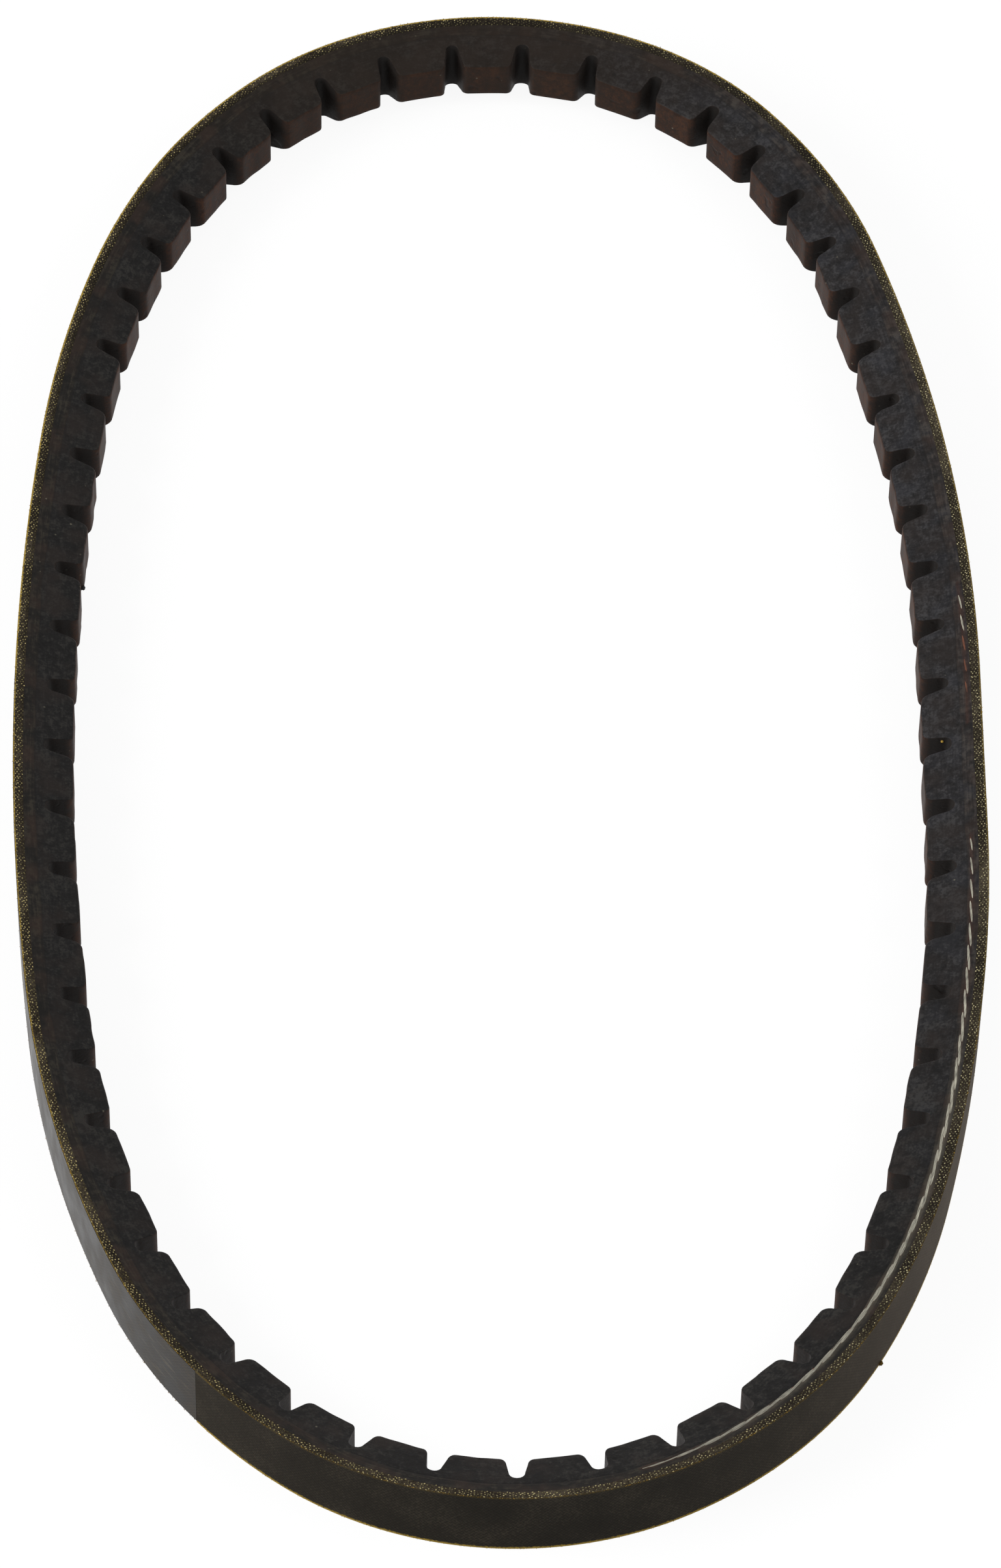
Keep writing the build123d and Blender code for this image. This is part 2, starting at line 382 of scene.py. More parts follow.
def ground_rubber(name, bare, bloomed, stained, streaked):
    """Black rubber with chopped fibre, ground flat on the flanks: matt, mottled, streaked along the run,
    pitted and specked with lint. The moulded cog faces are browner and smoother."""
    material, tree, shader = new_material(
        name, roughness=0.6, specular=0.1, Sheen_Weight=0.07, Sheen_Roughness=0.5, Sheen_Tint="#a48e84")
    place = add(tree, "Attribute", attribute_name="belt_mm").outputs["Vector"]
    along, depth = add(tree, "SeparateXYZ", {0: place}).outputs[:2]
    moulded, dip, lint, seam_shade = (
        add(tree, "Attribute", attribute_name=kept).outputs["Fac"]
        for kept in ("moulded", "dip", "lint", "seam_shade")
    )
    spot = add(tree, "TexCoord").outputs["Object"]
    # Handling stain in clouds 7 mm across, mottle of 1.2 mm, a 0.4 mm grain, patches of stain and haze 2
    # to 6 mm across, lumps 2.2 mm apart, and 0.3 mm grinding streaks.
    clouds, mottle, grain, patches, lumps = (
        add(tree, "TexNoise", {"Vector": spot, "Scale": 1 / size, "Detail": detail}).outputs[0]
        for size, detail in ((0.007, 4.0), (0.0012, 5.0), (0.0004, 2.0), (0.006, 6.0), (0.0022, 1.0))
    )
    drawn_out = round_the_belt(tree, along, depth, stretch=14.0)
    streaks = add(tree, "TexNoise", {"Vector": drawn_out, "Scale": 1 / 0.3, "Detail": 2.0}).outputs[0]
    soft = add(tree, "Mix", {0: 0.62, 2: clouds, 3: mottle}).outputs[0]
    rough = add(tree, "Mix", {0: streaked, 2: grain, 3: streaks}).outputs[0]
    tone = add(tree, "Mix", {0: 0.4, 2: soft, 3: rough}).outputs[0]
    shade = add(tree, "MapRange", {0: tone, 1: 0.41, 2: 0.59}).outputs[0]
    skin_stops = ((0.0, "#1a0f09"), (0.5, "#28170f"), (1.0, "#3a2316"))
    plain, waxy, skin = (
        add(tree, "ValToRGB", {0: shade}, stops=stops).outputs[0] for stops in (bare, bloomed, skin_stops)
    )
    # Wax bloom has come up most on one side of the loop, and brown dust has settled on one stretch.
    bloom = share_near(tree, along, centre=82.0, reach=170.0)
    dusty = share_near(tree, along, centre=236.0, reach=62.0)
    stain = add(tree, "MapRange", {0: patches, 1: 0.47, 2: 0.63, 4: 0.5}).outputs[0]
    haze = add(tree, "MapRange", {0: patches, 1: 0.47, 2: 0.36, 4: 0.35}).outputs[0]
    # Painted shade in the notches, from none at the cog faces to most from 8.4 mm deep on.
    notch_shade = add(tree, "MapRange", {0: depth, 1: 9.9, 2: 8.4, 4: 0.92}).outputs[0]
    # Pits about 0.8 mm across, where a lump tore out.
    pits = add(tree, "MapRange", {0: lumps, 1: 0.66, 2: 0.76}).outputs[0]
    # Painted shade, near black, in the pits and along the seam groove.
    pit_and_seam_shade = add(tree, "Math", {0: pits, 1: seam_shade}, operation="MAXIMUM").outputs[0]
    # Specks of lint and chopped fibre, 0.2 mm across, one to every few square millimetres.
    cells = add(tree, "TexVoronoi", {"Vector": spot, "Scale": 1 / 0.0022})
    near = add(tree, "MapRange", {0: cells.outputs["Distance"], 1: 0.10, 2: 0.05}).outputs[0]
    pick = add(tree, "SeparateColor", {0: cells.outputs["Color"]}).outputs[0]
    chosen = add(tree, "MapRange", {0: pick, 1: 0.72, 2: 0.95, 4: 0.7}).outputs[0]
    # Each layer has its cover, how strongly it shows there, and its colour.
    layers = (
        (bloom, 1.0, waxy),
        # Rust-brown stain and, where wax has bloomed, blue-grey haze.
        (stain, 1.0, stained),
        (haze, bloom, "#2b2c31"),
        (moulded, 1.0, skin),
        (dusty, 0.5, "#231b14"),
        # Painted shade deep in the notches: the moulded skin is darkened towards the notch roots.
        (notch_shade, moulded, "#181716"),
        # Red-brown cord dip rubbed into the gum, and grey polyester dust where the cord was ground most.
        (dip, mottle, "#3d261d"),
        (lint, rough, "#5b574d"),
        # Painted shade in the pits and the seam groove.
        (pit_and_seam_shade, soft, "#0d0c0b"),
        (near, chosen, "#6e6a5c"),
    )
    colour = plain
    for cover, strength, tint in layers:
        share = add(tree, "Math", {0: cover, 1: strength}, operation="MULTIPLY").outputs[0]
        colour = add(tree, "Mix", {0: share, 6: colour, 7: tint}, data_type="RGBA").outputs[2]
    tree.links.new(colour, shader.inputs["Base Color"])
    gloss = add(tree, "MapRange", {0: tone, 1: 0.35, 2: 0.65, 3: 0.50, 4: 0.66}).outputs[0]
    tree.links.new(gloss, shader.inputs["Roughness"])
    bumps = add(tree, "Mix", {0: 0.4, 2: mottle, 3: rough}).outputs[0]
    relief = add(tree, "Math", {0: bumps, 1: pits}, operation="SUBTRACT").outputs[0]
    normal = add(tree, "Bump", {"Height": relief, "Strength": 0.6, "Distance": 0.12 * MM}).outputs[0]
    tree.links.new(normal, shader.inputs["Normal"])
    return material


thread_spacing = 0.5


def canvas():
    """Cotton and polyester canvas, cut on the bias and rubbed full of rubber: a matt olive-black weave,
    with raw olive fibre along its cut edges, which also carry a painted golden rim highlight."""
    material, tree, shader = new_material(
        "bias_canvas", roughness=0.65, specular=0.06, Sheen_Weight=0.15, Sheen_Roughness=0.4,
        Sheen_Tint="#c0a07c")
    place = add(tree, "Attribute", attribute_name="belt_mm").outputs["Vector"]
    along, depth, height = add(tree, "SeparateXYZ", {0: place}).outputs
    weave = weave_height(tree, along, height, thread_spacing)
    spot = add(tree, "TexCoord").outputs["Object"]
    clouds = add(tree, "TexNoise", {"Vector": spot, "Scale": 1 / 0.009, "Detail": 5.0}).outputs[0]
    grain = add(tree, "TexNoise", {"Vector": spot, "Scale": 1 / 0.0004, "Detail": 2.0}).outputs[0]
    worn = add(tree, "Mix", {0: 0.45, 2: clouds, 3: grain}).outputs[0]
    tone = add(tree, "Mix", {0: 0.14, 2: worn, 3: weave}).outputs[0]
    back = add(tree, "ValToRGB", {0: tone}, stops=(
        (0.34, "#0b0b09"), (0.52, "#161511"), (0.72, "#2f2b24")))
    flank = add(tree, "ValToRGB", {0: worn}, stops=(
        (0.38, "#15110c"), (0.50, "#2a241c"), (0.62, "#433c31")))
    soot = add(tree, "Attribute", attribute_name="soot").outputs["Fac"]
    sooty = add(tree, "Mix", {0: soot, 6: flank.outputs[0], 7: "#17140f"}, data_type="RGBA").outputs[2]
    on_flank = add(tree, "MapRange", {0: depth, 1: 0.02, 2: 0.08}).outputs[0]
    colour = add(tree, "Mix", {0: on_flank, 6: back.outputs[0], 7: sooty}, data_type="RGBA").outputs[2]
    # The cut edges of the back, where yarns stand bare for about 0.2 mm, and further at the lower one.
    # Their golden colour is partly bare yarn and partly a painted rim highlight.
    from_top = add(tree, "Math", {0: top_width, 1: height}, operation="SUBTRACT").outputs[0]
    from_floor = add(tree, "Math", {0: height, 1: 0.65}, operation="MULTIPLY").outputs[0]
    from_edge = add(tree, "Math", {0: from_top, 1: from_floor}, operation="MINIMUM").outputs[0]
    from_corner = add(tree, "Math", {0: from_edge, 1: depth}, operation="ADD").outputs[0]
    ragged = add(tree, "Math", {0: grain, 1: 0.5, 2: from_corner}, operation="MULTIPLY_ADD").outputs[0]
    at_edge = add(tree, "MapRange", {0: ragged, 1: 0.66, 2: 0.38}).outputs[0]
    fray_and_rim_highlight = add(tree, "Attribute", attribute_name="fray_and_rim_highlight").outputs["Fac"]
    bare_yarn_and_rim_highlight = add(tree, "Math", {0: at_edge, 1: fray_and_rim_highlight}, operation="MULTIPLY").outputs[0]
    colour = add(tree, "Mix", {0: bare_yarn_and_rim_highlight, 6: colour, 7: "#9c8338"}, data_type="RGBA").outputs[2]
    tree.links.new(colour, shader.inputs["Base Color"])
    bumps = add(tree, "Mix", {0: 0.35, 2: weave, 3: grain}).outputs[0]
    relief = add(tree, "Bump", {"Height": bumps, "Strength": 0.26, "Distance": 0.08 * MM})
    tree.links.new(relief.outputs[0], shader.inputs["Normal"])
    return material


def thread_fibre(name, dark, middling, pale):
    """Undyed yarn, cut through: chalky, from rubber-stained olive to clean cream, thread by thread."""
    material, tree, shader = new_material(name, roughness=0.8, specular=0.1)
    tone = add(tree, "Attribute", attribute_name="tone").outputs["Fac"]
    spot = add(tree, "TexCoord").outputs["Object"]
    # Filaments are too fine to show, so they are drawn 0.08 mm across.
    filaments = add(tree, "TexNoise", {"Vector": spot, "Scale": 1 / 0.00008, "Detail": 1.0}).outputs[0]
    shade = add(tree, "MapRange", {0: filaments, 1: 0.35, 2: 0.65, 3: -0.12, 4: 0.12}).outputs[0]
    varied = add(tree, "Math", {0: tone, 1: shade}, operation="ADD").outputs[0]
    stops = ((0.0, dark), (0.5, middling), (1.0, pale))
    plain = add(tree, "ValToRGB", {0: varied}, stops=stops).outputs[0]
    # The belt has yellowed to one side.
    east = add(tree, "SeparateXYZ", {0: spot}).outputs[0]
    yellowed = add(tree, "MapRange", {0: east, 1: 0.075, 2: -0.04, 3: 0.2, 4: 0.6}).outputs[0]
    colour = add(tree, "Mix", {0: yellowed, 6: plain, 7: "#eed9a0"}, data_type="RGBA",
                 blend_type="MULTIPLY").outputs[2]
    tree.links.new(colour, shader.inputs["Base Color"])
    return material


def transfer_film():
    """Thin transfer film pressed into the canvas: smoother and greyer than it, softly glossy, with the
    weave showing through."""
    material, tree, shader = new_material(
        "transfer_film", roughness=0.35, specular=0.11, Specular_Tint="#ecd6b8")
    place = add(tree, "Attribute", attribute_name="belt_mm").outputs["Vector"]
    along, _, height = add(tree, "SeparateXYZ", {0: place}).outputs
    weave = weave_height(tree, along, height, thread_spacing)
    spot = add(tree, "TexCoord").outputs["Object"]
    clouds = add(tree, "TexNoise", {"Vector": spot, "Scale": 1 / 0.005, "Detail": 6.0}).outputs[0]
    tone = add(tree, "Mix", {0: 0.2, 2: clouds, 3: weave}).outputs[0]
    colour = add(tree, "ValToRGB", {0: tone}, stops=(
        (0.38, "#131211"), (0.54, "#1e1b19"), (0.70, "#302b25"))).outputs[0]
    # Scuffs that run with the belt, 0.4 mm apart.
    drawn_out = round_the_belt(tree, along, height, stretch=10.0)
    scuffs = add(tree, "TexNoise", {"Vector": drawn_out, "Scale": 1 / 0.4, "Detail": 3.0}).outputs[0]
    scuffed = add(tree, "MapRange", {0: scuffs, 1: 0.56, 2: 0.72, 4: 0.55}).outputs[0]
    colour = add(tree, "Mix", {0: scuffed, 6: colour, 7: "#4a4336"}, data_type="RGBA").outputs[2]
    tree.links.new(colour, shader.inputs["Base Color"])
    gloss = add(tree, "MapRange", {0: clouds, 1: 0.35, 2: 0.65, 3: 0.30, 4: 0.42}).outputs[0]
    tree.links.new(gloss, shader.inputs["Roughness"])
    relief = add(tree, "Bump", {"Height": tone, "Strength": 0.5, "Distance": 0.08 * MM})
    tree.links.new(relief.outputs[0], shader.inputs["Normal"])
    return material


def twisted_polyester():
    """Polyester cord dipped in red-brown adhesive: pale filaments show only where the flank is ground."""
    material, tree, shader = new_material("twisted_polyester", roughness=0.5, specular=0.25)
    place = add(tree, "Attribute", attribute_name="belt_mm").outputs["Vector"]
    along, depth = add(tree, "SeparateXYZ", {0: place}).outputs[:2]
    # Filaments run with the cord. They are drawn 0.07 mm across, as finer ones don't show.
    drawn_out = round_the_belt(tree, along, depth, stretch=20.0)
    filaments = add(tree, "TexNoise", {"Vector": drawn_out, "Scale": 1 / 0.07, "Detail": 2.0}).outputs[0]
    cut = add(tree, "Attribute", attribute_name="cut").outputs["Fac"]
    dipped = add(tree, "ValToRGB", {0: filaments}, stops=((0.35, "#34190f"), (0.65, "#7a4a33")))
    ground = add(tree, "ValToRGB", {0: filaments}, stops=(
        (0.32, "#56534b"), (0.50, "#979385"), (0.66, "#bebaa8")))
    bared = add(tree, "MapRange", {0: cut, 1: 0.35, 2: 0.75}).outputs[0]
    soot = add(tree, "Attribute", attribute_name="soot").outputs["Fac"]
    sooty = add(tree, "Mix", {0: soot, 6: ground.outputs[0], 7: "#2b2a26"}, data_type="RGBA").outputs[2]
    colour = add(tree, "Mix", {0: bared, 6: dipped.outputs[0], 7: sooty}, data_type="RGBA").outputs[2]
    tree.links.new(colour, shader.inputs["Base Color"])
    relief = add(tree, "Bump", {"Height": filaments, "Strength": 0.5, "Distance": 0.05 * MM})
    tree.links.new(relief.outputs[0], shader.inputs["Normal"])
    return material


cogged_stock = ground_rubber(
    "ground_fibre_filled_rubber",
    ((0.0, "#060606"), (0.5, "#121212"), (1.0, "#272624")),
    ((0.0, "#111112"), (0.5, "#222122"), (1.0, "#373637")),
    "#231d1a",
    0.3,
)
gum_stock = ground_rubber(
    "ground_gum_rubber",
    ((0.0, "#0a0a08"), (0.5, "#161412"), (1.0, "#2c2923")),
    ((0.0, "#121111"), (0.5, "#242222"), (1.0, "#3b3734")),
    "#30241e",
    0.65,
)
fabric = canvas()
film = transfer_film()
cord_fibre = twisted_polyester()
cut_yarn = thread_fibre("cut_yarn", "#2b291f", "#726f57", "#b0aa88")
loose_yarn = thread_fibre("loose_yarn", "#3a2c14", "#846a26", "#b6984a")


# ------------------------------------------------------------------ canvas plies

# Belt dust has darkened the cut edges of the canvas more in some places than in others, ply by ply.
sooted_at = [0, 110, 170, 225, 265, 330, 430, 560, 640, 700, 760, pitch_length]
clean_shares = (
    [1.10, 1.10, 0.80, 0.70, 2.00, 2.00, 1.50, 1.10, 0.95, 0.65, 0.90, 1.10],
    [1.10, 1.00, 0.60, 0.50, 1.05, 1.15, 1.25, 1.15, 1.00, 0.60, 0.85, 1.10],
    [0.95, 0.75, 0.40, 0.40, 0.35, 0.35, 0.70, 1.05, 1.10, 0.75, 0.95, 0.95],
)

# How bare the yarns stand along the edges of the back, and how strong the painted golden rim highlight is
# there.
fray_and_rim_highlight_at = [0, 110, 170, 260, 320, 480, 540, 580, 740, pitch_length]
upper_fray_and_rim_highlight = [0.3, 0.4, 0.9, 2.2, 2.2, 1.2, 0.6, 0.05, 0.05, 0.3]
lower_fray_and_rim_highlight = 0.9


def canvas_ply(name, distance, outer, inner, clean_share, bevel=0.0, across=7):
    """A ply of canvas between two depths, which may change along the belt. The edges of its back may be
    bevelled, and it has so many points across."""
    outer = np.broadcast_to(outer, distance.shape)[:, None]
    inner = np.broadcast_to(inner, distance.shape)[:, None]
    share = np.linspace(0, 1, across)
    side = np.array([[0.0, 0.5, 1.0]])
    flank_depths = outer + bevel + (inner - outer - bevel) * side
    back_width = top_width - 2 * (flank_inset(outer) + bevel)
    back_heights = top_width - flank_inset(outer) - bevel - back_width * share
    back_depths = np.repeat(outer, across, axis=1)
    inner_heights = flank_inset(inner) + (top_width - 2 * flank_inset(inner)) * share[1:-1]
    inner_depths = np.repeat(inner, across - 2, axis=1)
    lower = flank_inset(flank_depths)
    depth = np.concatenate([back_depths, flank_depths, inner_depths, flank_depths[:, ::-1]], axis=1)
    height = np.concatenate([back_heights, lower, inner_heights, top_width - lower[:, ::-1]], axis=1)
    obj = loft(name, distance[:, None], depth, height, fabric)
    soot = 1.1 - np.interp(distance, sooted_at, clean_share)
    write_attribute(obj, "soot", np.repeat(np.clip(soot, 0, 1), depth.shape[1]))
    # The same share sets the bare yarn and the painted golden rim highlight along the edges.
    fray_and_rim_highlight = np.interp(distance, fray_and_rim_highlight_at, upper_fray_and_rim_highlight)[:, None]
    write_attribute(obj, "fray_and_rim_highlight", np.where(height > middle_height, fray_and_rim_highlight, lower_fray_and_rim_highlight))
    return obj


def plies():
    """The three plies. The outer one is recessed under the label film."""
    rows = np.arange(0, pitch_length, 0.75)
    label_end = label_start + label_length
    steps = [place + nudge for place in (label_start, label_end) for nudge in (-0.01, 0.01)]
    outer_rows = np.sort(np.concatenate([rows, steps]))
    under_label = (outer_rows > label_start) & (outer_rows < label_end)
    outer_depth = np.where(under_label, label_thickness, 0.0)
    outer = canvas_ply("outer_canvas_ply", outer_rows, outer_depth, ply_floors[0], clean_shares[0],
                       bevel=0.06, across=9)
    middling = canvas_ply("middle_canvas_ply", rows, ply_depths[1], ply_floors[1], clean_shares[1])
    inner = canvas_ply("inner_canvas_ply", rows, ply_depths[2], ply_floors[2], clean_shares[2])
    for ply, node in zip((outer, middling, inner), ply_nodes):
        seated(ply, "back_fabric", node)


def thread_ends(name, row_depth, seed, proud, brightness, clean_share):
    """The cut ends of one ply's threads, which stand a little proud along both flanks. Warp and weft ends
    take turns, one a little deeper than the other."""
    draw = np.random.default_rng(seed)
    spacing = 0.47
    along_flank = round(pitch_length / spacing)
    count = 2 * along_flank
    upper = np.arange(count) % 2 == 1
    number = np.arange(count) // 2
    distance = number * pitch_length / along_flank + draw.normal(0, 0.09, count)
    depth = row_depth + np.where(number % 2, 0.12, -0.12) + draw.normal(0, 0.05, count)
    long_radius = draw.uniform(0.10, 0.17, count)
    short_radius = draw.uniform(0.07, 0.12, count)
    lean = np.where(number % 2, 1, -1) * draw.uniform(0.2, 1.0, count)
    rise = proud * draw.uniform(0.4, 1.6, count)
    corners = 8
    angle = np.arange(corners) * 2 * math.pi / corners
    rings = []
    for size, lift in ((1.0, -0.05), (0.8, 0.7), (0.35, 1.0)):
        x = long_radius[:, None] * size * np.cos(angle)
        y = short_radius[:, None] * size * np.sin(angle)
        along = x * np.cos(lean)[:, None] - y * np.sin(lean)[:, None]
        inward = x * np.sin(lean)[:, None] + y * np.cos(lean)[:, None]
        rings.append((along, inward, np.broadcast_to(rise[:, None] * lift, x.shape)))
    along, inward, lift = (np.concatenate(parts, axis=1) for parts in zip(*rings))
    out = np.where(upper, 1, -1)[:, None]
    depths = depth[:, None] + inward
    flank = np.where(upper[:, None], top_width - flank_inset(depths), flank_inset(depths))
    points = on_belt(distance[:, None] + along, depths + lift * flank_slope, flank + out * lift)
    rows = points.reshape(count, 3, corners, 3)
    rows[upper] = rows[upper][:, :, ::-1]
    patchy = 1 + 0.65 * ring_noise(distance, waves=360, seed=seed + 20)
    clean = np.interp(distance, sooted_at, clean_share) * patchy
    tones = np.clip(draw.beta(2.6, 3.6, count) * brightness * clean, 0, 1)
    return scattered(name, rows.reshape(count, -1, 3), tube_faces(corners), cut_yarn, tones)


plies()
# How proud the thread ends of each ply stand, and how bright they are.
end_looks = ((0.06, 1.5), (0.06, 1.3), (0.08, 1.4))
for number, (proud, brightness) in enumerate(end_looks):
    row_depth = (max(ply_depths[number], label_thickness) + ply_floors[number]) / 2
    ends = thread_ends(f"thread_ends_{ply_nodes[number]}", row_depth, seed=7 + number, proud=proud,
                       brightness=brightness, clean_share=clean_shares[number])
    seated(ends, "back_fabric")


# One tuft has pulled out of the lower edge.
tuft_at = pitch_length - 102.3
tuft_yarns = 30


def rim_fuzz(seed):
    """Yarn ends that stand off the two cut edges of the back."""
    draw = np.random.default_rng(seed)
    count = 5000
    upper = np.arange(count) % 2 == 1
    distance = draw.uniform(0, pitch_length, count)
    length = np.minimum(draw.gamma(3.0, 0.036, count), 0.22)
    tuft = (np.arange(count) < tuft_yarns) & ~upper
    distance[tuft] = tuft_at + draw.normal(0, 0.22, tuft.sum())
    length[tuft] = draw.uniform(0.2, 0.45, tuft.sum())
    thick = draw.uniform(0.03, 0.06, count)
    out = draw.uniform(-0.2, 1.0, count)
    rise = draw.uniform(0.0, 1.0, count)
    sweep = draw.normal(0, 0.8, count)
    base_depth = draw.uniform(0.0, 0.14, count)
    side = np.where(upper, 1, -1)
    edge = np.where(upper, top_width - flank_inset(base_depth), flank_inset(base_depth))
    rings = []
    corners = 4
    flattened = 0.7
    for share, width in ((-0.2, 1.0), (0.5, 0.8), (1.0, 0.15)):
        for corner in range(corners):
            turn = corner * math.pi / 2
            along = sweep * length * share ** 2 * np.sign(share) + thick * width * math.cos(turn)
            depth = base_depth - out * length * share + thick * width * math.sin(turn) * flattened
            height = edge + side * (rise * length * share + thick * width * math.sin(turn) * flattened)
            # The floor holds a yarn up, with its corners a hair apart so that no face folds up.
            height = np.maximum(height, 0.01 * corner)
            rings.append(on_belt(distance + along, depth, height))
    # The lower edge was rubbed less, and is paler.
    tones = np.clip(draw.beta(2, 2.5, count) + 0.35 * ~upper, 0, 1)
    return scattered("rim_fuzz", np.stack(rings, axis=1), tube_faces(corners), loose_yarn, tones)


def crumb(name, place, radii, material, tone, seed):
    """A small ragged lump, by its distance, depth and height, and its half sizes along these."""
    draw = np.random.default_rng(seed)
    levels, around = 7, 12
    tilt = np.linspace(0, math.pi, levels + 2)[1:-1, None]
    turn = 2 * math.pi * np.arange(around) / around
    ragged = 1 + draw.normal(0, 0.12, (levels, around))
    across = [np.sin(tilt) * np.cos(turn), np.sin(tilt) * np.sin(turn), np.cos(tilt) + 0 * turn]
    shell = np.stack([size * ragged * side for size, side in zip(radii, across)], axis=-1).reshape(-1, 3)
    ends = [[0, 0, radii[2]], [0, 0, -radii[2]]]
    spots = np.concatenate([shell, ends]) + place
    faces = []
    for corner in range(around):
        after = (corner + 1) % around
        for level in range(0, (levels - 1) * around, around):
            below = level + around
            faces.append((level + corner, below + corner, below + after, level + after))
        faces.append((levels * around, corner, after))
        bottom = (levels - 1) * around
        faces.append((levels * around + 1, bottom + after, bottom + corner))
    obj = new_object(name, on_belt(*spots.T), faces, material, 60.0)
    write_attribute(obj, "tone", np.full(len(spots), tone))
    return obj


seated(rim_fuzz(seed=3), "back_fabric")
knot = crumb("pulled_yarn_knot", (tuft_at, -0.15, 0.35), (0.45, 0.32, 0.28), loose_yarn, tone=0.1, seed=5)
seated(knot, "back_fabric")


# ------------------------------------------------------------------ label film

def label():
    """The film lies in its recess, flush with the back, and its sides lean out a little."""
    rows = np.linspace(label_start + label_end_gap, label_start + label_length - label_end_gap, 200)
    face = np.linspace(top_width - label_upper_margin, label_lower_margin, 7)
    underside = [label_lower_margin - label_bevel, top_width - label_upper_margin + label_bevel]
    depth_row = [0.0] * len(face) + [label_thickness] * len(underside)
    depth = np.tile(depth_row, (len(rows), 1))
    height = np.tile([*face, *underside], (len(rows), 1))
    return loft("blank_label_film_skin", rows[:, None], depth, height, film, closed=False)


seated(label(), "label_film", "blank_label_film")


# ------------------------------------------------------------------ cogged rubber

def arc(centre, radii, start, end, count):
    """Points on an arc with two radii, from one angle to another, in degrees."""
    angle = np.radians(np.linspace(start, end, count))
    return np.stack([centre[0] + radii[0] * np.cos(angle), centre[1] + radii[1] * np.sin(angle)], -1)


def half_notch(root_depth, root_half, mouth_half, tip_depth):
    """Half a notch and half a cog as (distance, depth): root, its corner, wall, rounded tip and face."""
    root = min(notch_root_radius, root_half - 0.05)
    root_corner = arc((root_half - root, root_depth + root), (root, root), -90, 0, 6)
    tip_centre = (mouth_half + cog_round_along, tip_depth - cog_round_deep)
    tip_corner = arc(tip_centre, (cog_round_along, cog_round_deep), 180, 90, 7)
    wall = root_corner[-1] + (tip_corner[0] - root_corner[-1]) * np.array([[0.35], [0.7]])
    face = np.stack([np.linspace(tip_corner[-1, 0], cog_pitch / 2, 6), np.full(6, tip_depth)], -1)
    return np.concatenate([[[0, root_depth]], root_corner, wall, tip_corner, face[1:]])


def cog_profile(seed):
    """The inner outline of the whole belt, cog by cog, each a little different from the next."""
    draw = np.random.default_rng(seed)
    rows = []
    for number in range(cog_count):
        notch = first_notch + number * cog_pitch
        root_depth = notch_root_depth + draw.normal(0, 0.06)
        tip_depth = belt_height - abs(draw.normal(0, 0.04))
        for side in (-1, 1):
            root_half = notch_root_half + draw.normal(0, 0.06)
            mouth_half = notch_mouth_half + draw.normal(0, 0.08)
            half = half_notch(root_depth, root_half, mouth_half, tip_depth)
            from_middle = (cog_pitch / 2 - half[:, 0]) / (cog_pitch / 2 - mouth_half)
            on_face = half[:, 1] > tip_depth - cog_round_deep
            half[:, 1] -= on_face * cog_crown * np.clip(from_middle, 0, 1) ** 2
            half = half[::-1][:-1] if side < 0 else half[:-1]
            rows.append(np.stack([notch + side * half[:, 0], half[:, 1]], -1))
    profile = np.concatenate(rows)
    on_cog = np.clip((profile[:, 1] - (belt_height - cog_round_deep)) / cog_round_deep, 0, 1)
    sink = cog_sink + cog_sink_spread * ring_noise(profile[:, 0], waves=170, seed=seed + 1)
    profile[:, 1] -= on_cog * np.clip(sink, 0, cog_sink_most)
    return profile


# The two rubbers share the cogs' stations, so that their seam is one line.
cogs = cog_profile(seed=59)
belt_stations = cogs[:, 0]


# ------------------------------------------------------------------ adhesion rubber and cord

def bared_depth(run):
    """Depth of the bared turn's middle. It strays a little from the cord line, as it was wound."""
    knots = [-140, -112, -98, -60, -28, 0, 28]
    strays = [0.0, 0.35, 0.0, -0.55, -0.15, -0.25, -0.65]
    return cord_depth + np.interp(run, knots, strays)


